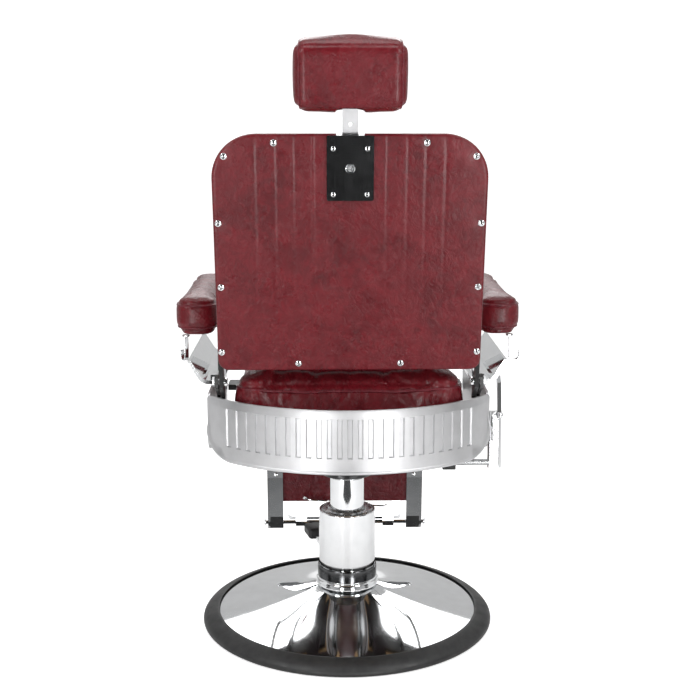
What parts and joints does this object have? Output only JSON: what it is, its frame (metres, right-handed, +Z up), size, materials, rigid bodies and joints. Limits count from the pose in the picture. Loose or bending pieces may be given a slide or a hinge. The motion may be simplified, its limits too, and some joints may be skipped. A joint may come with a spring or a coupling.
{
  "type": "hydraulic barber chair",
  "caption": "Upholstered barber chair on a round hydraulic base, with reclining back, sliding headrest, padded arms, linked legrest and folding footrest.",
  "frame": {"origin": "centre of the round base's underside, on the floor", "axes": "+Z up, -Y the way the sitter faces, +X the sitter's left"},
  "size_m": [0.72, 0.9216, 1.265],
  "materials": {
    "chrome": "mirror-bright chrome plating",
    "cast_aluminium": "satin cast aluminium",
    "steel": "plain bright steel",
    "stainless": "polished dark stainless",
    "black_paint": "black satin enamel on steel",
    "rubber": "black satin rubber",
    "upholstery": "oxblood glossy crinkled vinyl",
    "plywood": "bare plywood"
  },
  "bodies": {
    "base": {"base_plate": "black_paint", "rim_ring": "rubber", "base_dish": "chrome", "base_collar": "chrome", "pump_sleeve": "chrome", "pump_body": "steel", "pump_gland": "steel", "lever_yoke": "chrome", "lever_pin": "steel"},
    "pump_lever": {"pump_lever_arm": "chrome", "pump_pedal": "rubber"},
    "ram": {"ram": "chrome"},
    "seat": {"swivel_hub": "black_paint", "mount_plate": "black_paint", "cross_member_front": "black_paint", "cross_member_rear": "black_paint", "seat_board": "plywood", "seat_cushion": "upholstery", "apron_rear": "cast_aluminium", "shaft_bearing": "black_paint", "frame_rail_left": "black_paint", "frame_rail_right": "black_paint", "hinge_bracket_left": "black_paint", "hinge_bracket_right": "black_paint", "pivot_pin_left": "steel", "pivot_pin_right": "steel", "apron_side_left": "cast_aluminium", "apron_side_right": "cast_aluminium", "arm_frame_left": "chrome", "arm_frame_right": "chrome", "arm_pad_left": "upholstery", "arm_pad_right": "upholstery", "legrest_pivot_left": "steel", "legrest_pivot_right": "steel"},
    "left_hook": {"strop_hook_left": "chrome"},
    "right_hook": {"strop_hook_right": "chrome"},
    "recline_lever": {"lever_shaft": "steel", "recline_lever": "chrome"},
    "back": {"back_panel": "upholstery", "back_board": "plywood", "back_cushion": "upholstery", "slide_housing": "steel", "headrest_plate": "stainless", "back_iron_left": "black_paint", "back_iron_right": "black_paint"},
    "lock_button": {"lock_button": "steel"},
    "headrest_post": {"headrest_post": "chrome"},
    "headrest": {"tilt_bracket": "steel", "headrest_cushion": "upholstery"},
    "legrest": {"calf_board": "upholstery", "calf_pad": "upholstery", "foot_hinge_rod": "chrome", "legrest_bracket_left": "chrome", "legrest_bracket_right": "chrome"},
    "footrest": {"footrest": "chrome"},
    "links": {"drive_link_left": "black_paint", "drive_link_right": "black_paint"}
  },
  "joints": [
    {"name": "pump_stroke", "type": "hinge", "parent": "base", "child": "pump_lever", "pos_m": [0.0235, -0.08895, 0.096], "axis": [0.9668, 0.2554, 0], "range_deg": [0, 10], "stiffness_Nm_per_rad": 25, "springref_deg": -11.46},
    {"name": "pump_lift", "type": "slide", "parent": "base", "child": "ram", "axis": [0, 0, 1], "range_m": [0, 0.15]},
    {"name": "seat_swivel", "type": "hinge", "parent": "ram", "child": "seat", "pos_m": [0, 0, 0.4], "axis": [0, 0, 1], "continuous": true},
    {"name": "left_hook_turn", "type": "hinge", "parent": "seat", "child": "left_hook", "pos_m": [0.336, 0.128, 0.65], "axis": [0, 0, 1], "range_deg": [-28, 90]},
    {"name": "right_hook_turn", "type": "hinge", "parent": "seat", "child": "right_hook", "pos_m": [-0.336, 0.128, 0.65], "axis": [0, 0, 1], "range_deg": [-90, 90]},
    {"name": "recline_release", "type": "hinge", "parent": "seat", "child": "recline_lever", "pos_m": [-0.3, 0.105, 0.39], "axis": [1, 0, 0], "range_deg": [0, 22], "stiffness_Nm_per_rad": 6, "springref_deg": -14.32},
    {"name": "back_recline", "type": "hinge", "parent": "seat", "child": "back", "pos_m": [0, 0.248, 0.6], "axis": [-1, 0, 0], "range_deg": [0, 50]},
    {"name": "legrest_swing", "type": "hinge", "parent": "seat", "child": "legrest", "pos_m": [0, -0.268, 0.455], "axis": [-1, 0, 0], "range_deg": [0, 50]},
    {"name": "link_turn", "type": "hinge", "parent": "back", "child": "links", "pos_m": [0, 0.212, 0.514], "axis": [-1, 0, 0], "range_deg": [-50, 0]},
    {"name": "footrest_fold", "type": "hinge", "parent": "legrest", "child": "footrest", "pos_m": [0, -0.342, 0.106], "axis": [-1, 0, 0], "range_deg": [0, 45]},
    {"name": "headrest_height", "type": "slide", "parent": "back", "child": "headrest_post", "axis": [0, 0.1805, 0.9836], "range_m": [0, 0.08]},
    {"name": "headrest_tilt", "type": "hinge", "parent": "headrest_post", "child": "headrest", "pos_m": [0, 0.35872, 1.14594], "axis": [1, 0, 0], "range_deg": [-12, 35]},
    {"name": "headrest_lock", "type": "slide", "parent": "back", "child": "lock_button", "axis": [0, -0.9836, 0.1805], "range_m": [0, 0.0045], "stiffness_N_per_m": 900, "springref_m": -0.002}
  ],
  "couplings": [
    {"joint": "legrest_swing", "follows": "back_recline", "ratio": 1},
    {"joint": "link_turn", "follows": "back_recline", "ratio": -1}
  ]
}
